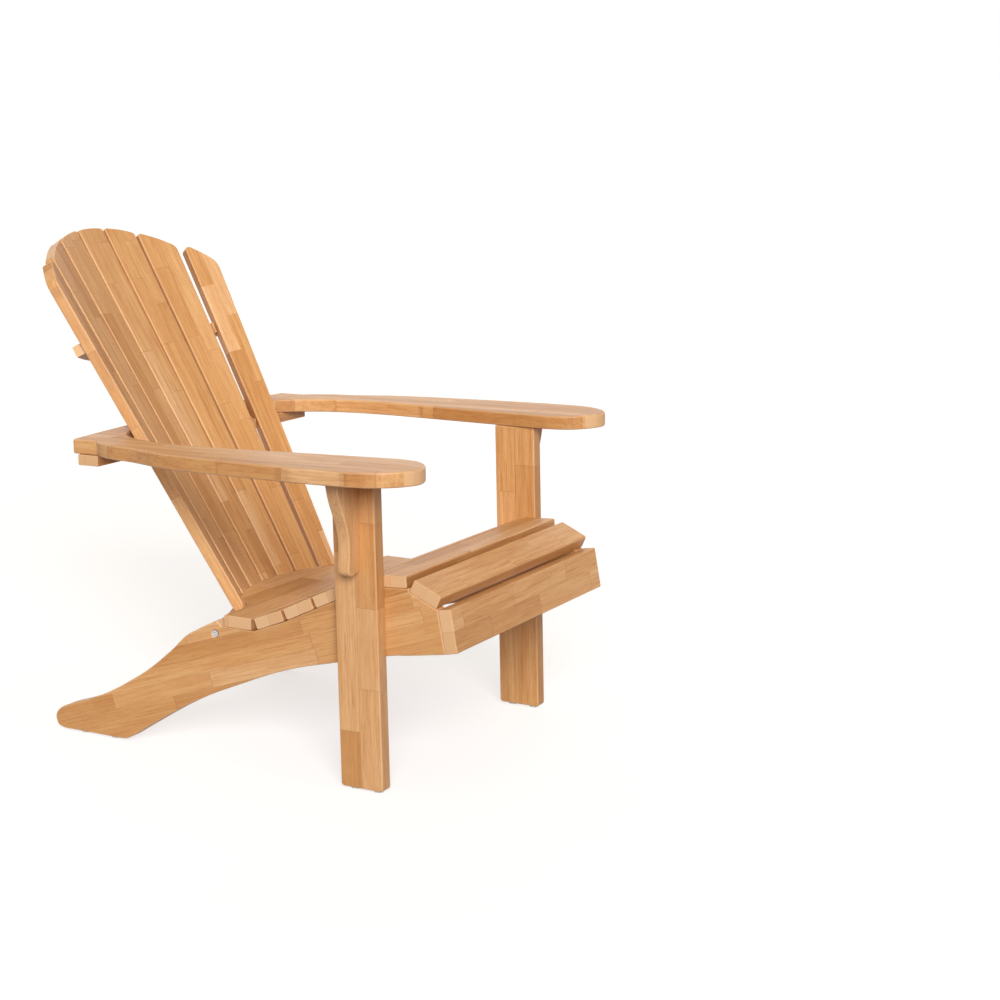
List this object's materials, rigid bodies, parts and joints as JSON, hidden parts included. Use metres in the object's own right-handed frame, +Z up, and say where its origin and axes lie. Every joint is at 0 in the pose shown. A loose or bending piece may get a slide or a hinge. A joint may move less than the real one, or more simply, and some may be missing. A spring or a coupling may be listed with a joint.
{
  "type": "adirondack chair",
  "caption": "Low reclined garden armchair in teak: fanned hollow backrest of upright slats, sloping slatted seat, broad armrests on bracketed board legs and swept side rails.",
  "frame": {"origin": "centre of the footprint of the whole chair, at floor level under the glides", "axes": "+Z up, +Y towards the rear so that the sitter faces -Y, +X towards the sitter's left"},
  "size_m": [0.8204, 0.9905, 0.917],
  "materials": {
    "teak": "light honey oiled teak, glued up from finger-jointed staves, edges softened",
    "bolt_steel": "plain stainless socket head",
    "glide_plastic": "white moulded nylon"
  },
  "bodies": {
    "root": {"rear_seat_board": "teak", "seat_slat_2": "teak", "seat_slat_3": "teak", "seat_slat_4": "teak", "seat_slat_5": "teak", "seat_slat_6": "teak", "seat_nosing": "teak", "back_slat_1": "teak", "back_slat_2": "teak", "back_slat_3": "teak", "back_slat_4": "teak", "back_slat_5": "teak", "back_slat_6": "teak", "back_slat_7": "teak", "lower_back_rail": "teak", "middle_back_rail": "teak", "upper_back_rail": "teak", "front_apron": "teak", "side_rail_right": "teak", "leg_right": "teak", "arm_right": "teak", "arm_bracket_right": "teak", "rail_bolt_right": "bolt_steel", "glide_leg_front_right": "glide_plastic", "glide_leg_rear_right": "glide_plastic", "glide_foot_front_right": "glide_plastic", "glide_foot_rear_right": "glide_plastic", "side_rail_left": "teak", "leg_left": "teak", "arm_left": "teak", "arm_bracket_left": "teak", "rail_bolt_left": "bolt_steel", "glide_leg_front_left": "glide_plastic", "glide_leg_rear_left": "glide_plastic", "glide_foot_front_left": "glide_plastic", "glide_foot_rear_left": "glide_plastic"}
  },
  "joints": []
}
